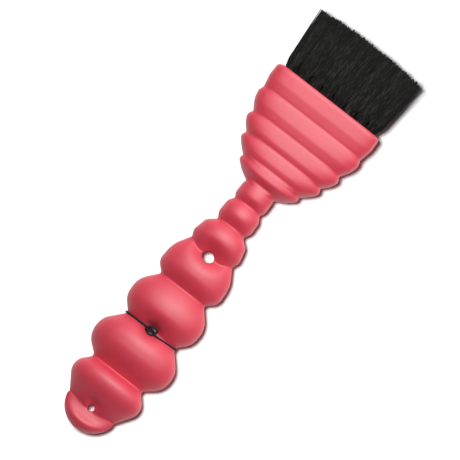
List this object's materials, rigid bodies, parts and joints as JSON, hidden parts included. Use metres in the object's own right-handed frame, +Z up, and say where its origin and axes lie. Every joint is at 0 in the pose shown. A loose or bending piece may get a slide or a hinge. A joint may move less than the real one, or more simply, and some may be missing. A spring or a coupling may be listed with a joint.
{
  "type": "fade brush",
  "caption": "Flat barber's neck and fade brush: a one-piece lobed handle with a flared ridged head, staggered rows of dark nylon tufts and an elastic cord tied round the waist.",
  "frame": {"origin": "under the middle of the brush, on the surface that it lies on", "axes": "+Y runs along the brush from the tail to the bristle tips, +X runs across the flat head, +Z is up, through the thickness"},
  "size_m": [0.0524, 0.2, 0.0188],
  "materials": {
    "handle": "satin soft-touch, moulded in colour",
    "bristle": "fine nylon filament",
    "anchor_wire": "flat drawn wire",
    "cord": "fine elastic thread"
  },
  "bodies": {
    "root": {"handle": "handle", "tuft_upper_1": "bristle", "tuft_upper_2": "bristle", "tuft_upper_3": "bristle", "tuft_upper_4": "bristle", "tuft_upper_5": "bristle", "tuft_upper_6": "bristle", "tuft_upper_7": "bristle", "tuft_upper_8": "bristle", "tuft_middle_1": "bristle", "tuft_middle_2": "bristle", "tuft_middle_3": "bristle", "tuft_middle_4": "bristle", "tuft_middle_5": "bristle", "tuft_middle_6": "bristle", "tuft_middle_7": "bristle", "tuft_lower_1": "bristle", "tuft_lower_2": "bristle", "tuft_lower_3": "bristle", "tuft_lower_4": "bristle", "tuft_lower_5": "bristle", "tuft_lower_6": "bristle", "tuft_lower_7": "bristle", "tuft_lower_8": "bristle", "anchors_upper_row": "anchor_wire", "anchors_middle_row": "anchor_wire", "anchors_lower_row": "anchor_wire", "cord_loop": "cord", "cord_knot": "cord"}
  },
  "joints": []
}
